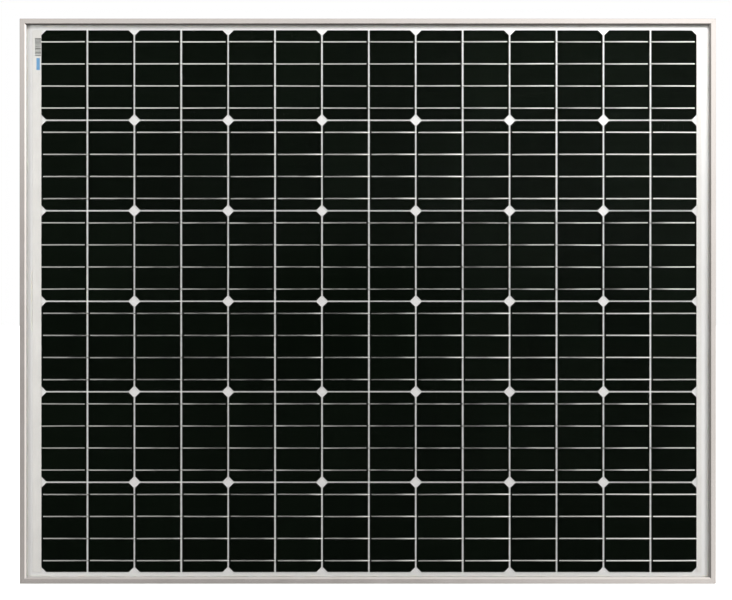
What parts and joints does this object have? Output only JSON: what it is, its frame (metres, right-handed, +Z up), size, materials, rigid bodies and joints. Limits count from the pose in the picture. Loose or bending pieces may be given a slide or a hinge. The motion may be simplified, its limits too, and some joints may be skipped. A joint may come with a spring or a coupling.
{
  "type": "solar panel",
  "caption": "Framed solar panel with half-cut cells, laminate, junction box with hinged lid, and cable glands.",
  "frame": {"origin": "centre of the outer mounting slots, on the frame's rear flange plane", "axes": "+X to the right seen from the sun side, +Y out of the rear, +Z up; the sun side faces -Y"},
  "size_m": [1.222, 0.035, 0.992],
  "materials": {
    "anodised_aluminium": "satin anodised",
    "tempered_glass": "fine textured, anti-reflection coated",
    "eva_film": "clear film",
    "silicon_cell": "textured dark wafer",
    "tinned_copper": "tinned, satin",
    "white_backsheet": "matte",
    "white_insulation": "matte",
    "white_silicone": "cured bead",
    "label_paper": "printed",
    "blue_film": "printed",
    "label_film": "satin film",
    "black_plastic": "moulded, fine texture",
    "black_rubber": "matte",
    "grey_rubber": "matte",
    "grey_nylon": "moulded",
    "stainless_steel": "drawn",
    "terminal_brass": "tinned brass",
    "diode_epoxy": "moulded epoxy"
  },
  "bodies": {
    "panel": {"frame_rail_bottom": "anodised_aluminium", "frame_rail_top": "anodised_aluminium", "frame_rail_left": "anodised_aluminium", "frame_rail_right": "anodised_aluminium", "corner_keys": "anodised_aluminium", "edge_seals": "white_silicone", "front_glass": "tempered_glass", "encapsulant_front": "eva_film", "encapsulant_rear": "eva_film", "backsheet": "white_backsheet", "bus_ribbons_left": "tinned_copper", "bus_ribbons_right": "tinned_copper", "insulation_strips": "white_insulation", "barcode_label": "label_paper", "mark_label": "blue_film", "rating_label": "label_film", "box_adhesive": "white_silicone", "junction_box_base": "black_plastic", "lid_hinge_pin": "stainless_steel", "terminal_plates": "terminal_brass", "bypass_diodes": "diode_epoxy", "diode_leads": "tinned_copper", "cell_string_1": "silicon_cell", "string_ribbons_1": "tinned_copper", "cell_string_2": "silicon_cell", "string_ribbons_2": "tinned_copper", "cell_string_3": "silicon_cell", "string_ribbons_3": "tinned_copper", "cell_string_4": "silicon_cell", "string_ribbons_4": "tinned_copper", "cell_string_5": "silicon_cell", "string_ribbons_5": "tinned_copper", "cell_string_6": "silicon_cell", "string_ribbons_6": "tinned_copper", "gland_body_left": "black_plastic", "gland_seal_left": "black_rubber", "gland_body_right": "black_plastic", "gland_seal_right": "black_rubber"},
    "lid": {"junction_box_lid": "black_plastic", "lid_gasket": "grey_rubber"},
    "claw_left": {"gland_claw_left": "grey_nylon"},
    "nut_left": {"gland_nut_left": "black_plastic"},
    "claw_right": {"gland_claw_right": "grey_nylon"},
    "nut_right": {"gland_nut_right": "black_plastic"}
  },
  "joints": [
    {"name": "lid_hinge", "type": "hinge", "parent": "panel", "child": "lid", "pos_m": [-0.543, -0.0082, 0.0596], "axis": [1, 0, 0], "range_deg": [0, 110]},
    {"name": "gland_travel_left", "type": "slide", "parent": "panel", "child": "claw_left", "axis": [0, 0, -1], "range_m": [0, 0.0061]},
    {"name": "gland_turn_left", "type": "hinge", "parent": "claw_left", "child": "nut_left", "pos_m": [-0.565, -0.0175, -0.075], "axis": [0, 0, -1], "range_deg": [0, 1440]},
    {"name": "gland_travel_right", "type": "slide", "parent": "panel", "child": "claw_right", "axis": [0, 0, -1], "range_m": [0, 0.0061]},
    {"name": "gland_turn_right", "type": "hinge", "parent": "claw_right", "child": "nut_right", "pos_m": [-0.521, -0.0175, -0.075], "axis": [0, 0, -1], "range_deg": [0, 1440]}
  ],
  "couplings": [
    {"joint": "gland_travel_left", "follows": "gland_turn_left", "m_per_rad": 0.00023873},
    {"joint": "gland_travel_right", "follows": "gland_turn_right", "m_per_rad": 0.00023873}
  ]
}
